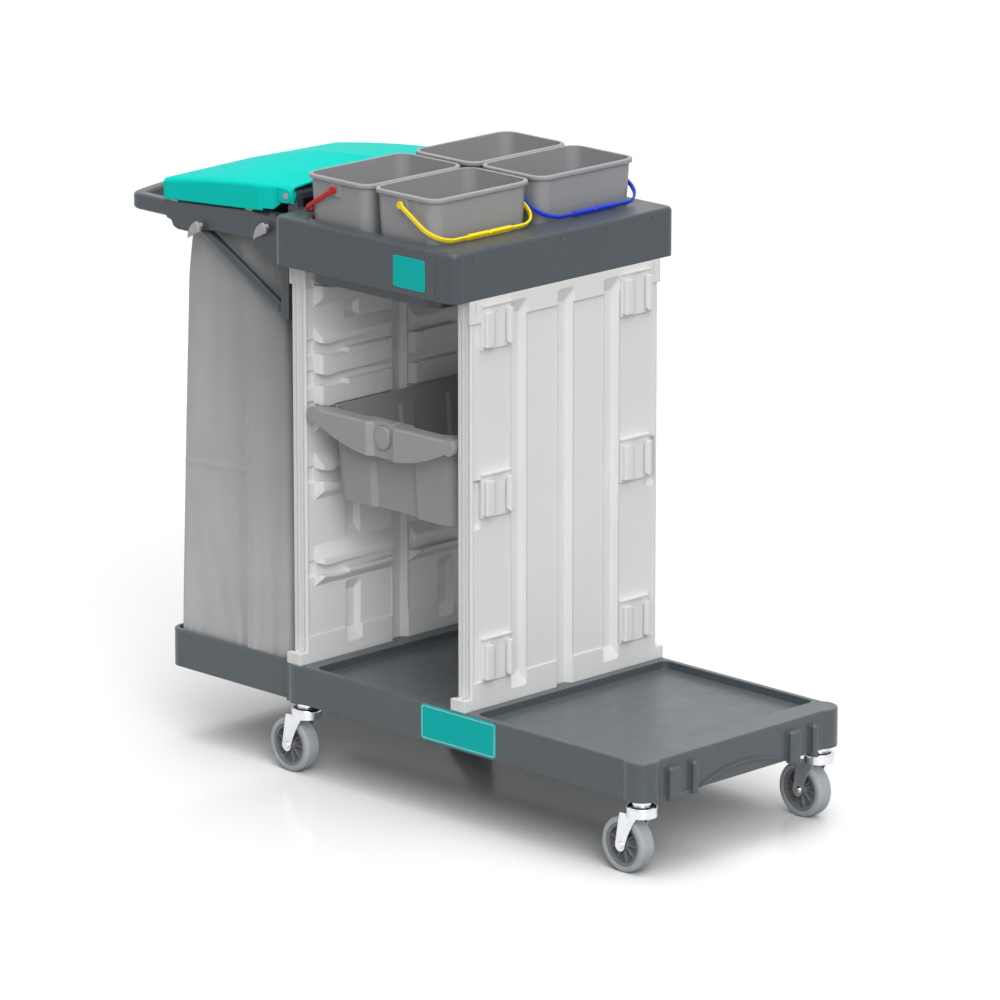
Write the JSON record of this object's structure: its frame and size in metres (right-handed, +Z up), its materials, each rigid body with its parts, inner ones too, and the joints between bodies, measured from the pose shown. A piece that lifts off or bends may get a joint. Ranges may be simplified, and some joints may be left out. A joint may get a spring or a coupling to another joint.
{
  "type": "cleaning trolley",
  "caption": "Cleaning trolley with a front load deck, a drawer between upright panels, a tray of bailed buckets and a lidded waste bag under a push handle, on swivel casters.",
  "frame": {"origin": "on the floor, under the middle of the trolley's box", "axes": "+X towards the open front deck, -X towards the push handle, +Y to the left-hand side, +Z up"},
  "size_m": [1.3733, 0.551, 1.111],
  "materials": {
    "dark_plastic": "fine moulded texture",
    "panel_plastic": "smooth satin moulding",
    "drawer_plastic": "smooth satin moulding",
    "bucket_plastic": "soft gloss moulding",
    "yellow_bail_plastic": "soft gloss moulding",
    "blue_bail_plastic": "soft gloss moulding",
    "red_bail_plastic": "soft gloss moulding",
    "green_bail_plastic": "soft gloss moulding",
    "lid_plastic": "soft gloss moulding",
    "hook_plastic": "smooth satin moulding",
    "pad_rubber": "soft matt",
    "zinc_steel": "bright zinc plate",
    "hub_plastic": "moulded",
    "tyre_rubber": "smooth grey non-marking rubber",
    "bag_fabric": "coated woven nylon"
  },
  "bodies": {
    "chassis": {"base_deck": "dark_plastic", "upper_tray": "dark_plastic", "push_handle": "dark_plastic", "lid_hinge_tube": "dark_plastic", "right_bracket": "dark_plastic", "right_arm": "dark_plastic", "right_strut": "dark_plastic", "right_post": "dark_plastic", "right_lid_bracket": "dark_plastic", "right_hooks": "hook_plastic", "left_bracket": "dark_plastic", "left_arm": "dark_plastic", "left_strut": "dark_plastic", "left_post": "dark_plastic", "left_lid_bracket": "dark_plastic", "left_hooks": "hook_plastic", "front_panel_outer": "panel_plastic", "front_panel_inner": "panel_plastic", "rear_panel_outer": "panel_plastic", "rear_panel_inner": "panel_plastic", "front_panel_clip_rails": "panel_plastic", "front_panel_runners": "panel_plastic", "rear_panel_runners": "panel_plastic", "panel_foot_screws": "zinc_steel", "strut_pins": "dark_plastic", "lid_hinge_pins": "hook_plastic", "bag": "bag_fabric", "front_right_caster_stem": "zinc_steel", "front_left_caster_stem": "zinc_steel", "rear_right_caster_stem": "zinc_steel", "rear_left_caster_stem": "zinc_steel"},
    "lid": {"lid": "lid_plastic", "lid_pads": "pad_rubber"},
    "drawer": {"drawer_tub": "drawer_plastic"},
    "drawer_button": {"drawer_button": "drawer_plastic"},
    "front_right_swivel": {"front_right_caster_fork": "zinc_steel", "front_right_caster_axle": "zinc_steel"},
    "front_right_wheel": {"front_right_wheel_hub": "hub_plastic", "front_right_wheel_tyre": "tyre_rubber"},
    "front_left_swivel": {"front_left_caster_fork": "zinc_steel", "front_left_caster_axle": "zinc_steel"},
    "front_left_wheel": {"front_left_wheel_hub": "hub_plastic", "front_left_wheel_tyre": "tyre_rubber"},
    "rear_right_swivel": {"rear_right_caster_fork": "zinc_steel", "rear_right_caster_axle": "zinc_steel"},
    "rear_right_wheel": {"rear_right_wheel_hub": "hub_plastic", "rear_right_wheel_tyre": "tyre_rubber"},
    "rear_left_swivel": {"rear_left_caster_fork": "zinc_steel", "rear_left_caster_axle": "zinc_steel"},
    "rear_left_wheel": {"rear_left_wheel_hub": "hub_plastic", "rear_left_wheel_tyre": "tyre_rubber"},
    "yellow_bucket": {"yellow_bucket": "bucket_plastic"},
    "yellow_bail": {"yellow_bail": "yellow_bail_plastic"},
    "blue_bucket": {"blue_bucket": "bucket_plastic"},
    "blue_bail": {"blue_bail": "blue_bail_plastic"},
    "red_bucket": {"red_bucket": "bucket_plastic"},
    "red_bail": {"red_bail": "red_bail_plastic"},
    "green_bucket": {"green_bucket": "bucket_plastic"},
    "green_bail": {"green_bail": "green_bail_plastic"}
  },
  "joints": [
    {"name": "lid_hinge", "type": "hinge", "parent": "chassis", "child": "lid", "pos_m": [-0.23835, 0, 1.048], "axis": [0, 1, 0], "range_deg": [0, 95]},
    {"name": "drawer_slide", "type": "slide", "parent": "chassis", "child": "drawer", "axis": [0, -1, 0], "range_m": [0, 0.32]},
    {"name": "drawer_button_press", "type": "slide", "parent": "drawer", "child": "drawer_button", "axis": [0, 1, 0], "range_m": [0, 0.004], "stiffness_N_per_m": 300, "springref_m": -0.001},
    {"name": "front_right_swivel_turn", "type": "hinge", "parent": "chassis", "child": "front_right_swivel", "pos_m": [0.64965, -0.224, 0.116], "axis": [0, 0, 1], "continuous": true},
    {"name": "front_right_wheel_spin", "type": "hinge", "parent": "front_right_swivel", "child": "front_right_wheel", "pos_m": [0.61765, -0.224, 0.05], "axis": [0, 1, 0], "continuous": true},
    {"name": "front_left_swivel_turn", "type": "hinge", "parent": "chassis", "child": "front_left_swivel", "pos_m": [0.64965, 0.224, 0.116], "axis": [0, 0, 1], "continuous": true},
    {"name": "front_left_wheel_spin", "type": "hinge", "parent": "front_left_swivel", "child": "front_left_wheel", "pos_m": [0.61765, 0.224, 0.05], "axis": [0, 1, 0], "continuous": true},
    {"name": "rear_right_swivel_turn", "type": "hinge", "parent": "chassis", "child": "rear_right_swivel", "pos_m": [-0.18185, -0.224, 0.116], "axis": [0, 0, 1], "continuous": true},
    {"name": "rear_right_wheel_spin", "type": "hinge", "parent": "rear_right_swivel", "child": "rear_right_wheel", "pos_m": [-0.21385, -0.224, 0.05], "axis": [0, 1, 0], "continuous": true},
    {"name": "rear_left_swivel_turn", "type": "hinge", "parent": "chassis", "child": "rear_left_swivel", "pos_m": [-0.18185, 0.224, 0.116], "axis": [0, 0, 1], "continuous": true},
    {"name": "rear_left_wheel_spin", "type": "hinge", "parent": "rear_left_swivel", "child": "rear_left_wheel", "pos_m": [-0.21385, 0.224, 0.05], "axis": [0, 1, 0], "continuous": true},
    {"name": "yellow_bucket_lift", "type": "slide", "parent": "chassis", "child": "yellow_bucket", "axis": [0, 0, 1], "range_m": [0, 0.25]},
    {"name": "yellow_bail_hinge", "type": "hinge", "parent": "yellow_bucket", "child": "yellow_bail", "pos_m": [0.09565, -0.1305, 1.092], "axis": [0, -1, 0], "range_deg": [0, 150]},
    {"name": "blue_bucket_lift", "type": "slide", "parent": "chassis", "child": "blue_bucket", "axis": [0, 0, 1], "range_m": [0, 0.25]},
    {"name": "blue_bail_hinge", "type": "hinge", "parent": "blue_bucket", "child": "blue_bail", "pos_m": [0.09565, 0.1305, 1.092], "axis": [0, -1, 0], "range_deg": [0, 150]},
    {"name": "red_bucket_lift", "type": "slide", "parent": "chassis", "child": "red_bucket", "axis": [0, 0, 1], "range_m": [0, 0.25]},
    {"name": "red_bail_hinge", "type": "hinge", "parent": "red_bucket", "child": "red_bail", "pos_m": [-0.07185, -0.1305, 1.092], "axis": [0, 1, 0], "range_deg": [0, 150]},
    {"name": "green_bucket_lift", "type": "slide", "parent": "chassis", "child": "green_bucket", "axis": [0, 0, 1], "range_m": [0, 0.25]},
    {"name": "green_bail_hinge", "type": "hinge", "parent": "green_bucket", "child": "green_bail", "pos_m": [-0.07185, 0.1305, 1.092], "axis": [0, 1, 0], "range_deg": [0, 150]}
  ]
}
